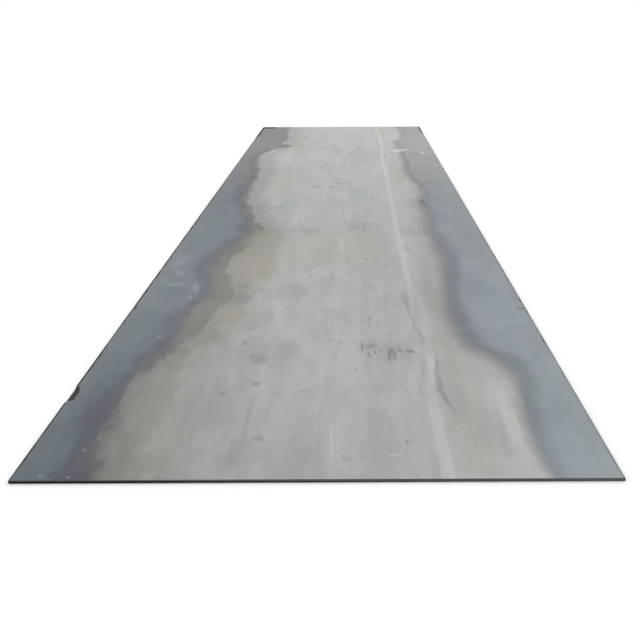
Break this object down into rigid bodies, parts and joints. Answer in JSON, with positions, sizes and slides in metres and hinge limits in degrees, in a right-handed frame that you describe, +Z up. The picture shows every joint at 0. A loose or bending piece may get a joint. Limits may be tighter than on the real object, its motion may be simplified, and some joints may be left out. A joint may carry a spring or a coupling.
{
  "type": "steel plate",
  "caption": "Flat rectangular hot-rolled steel plate, cut to length from coil, with rolled long edges, sheared ends and heat-tinted edge bands: raw stock for cutting, bending and welding.",
  "frame": {"origin": "middle of the plate's underside, on the floor that it lies on", "axes": "+Z up through the thickness, +Y along the length away from the leading sheared end, +X across the width"},
  "size_m": [1.5, 6, 0.01],
  "materials": {
    "mill_steel": "bare mill finish, warm grey, with blue-grey heat tint along the long edges"
  },
  "bodies": {
    "root": {"steel_plate": "mill_steel"}
  },
  "joints": []
}
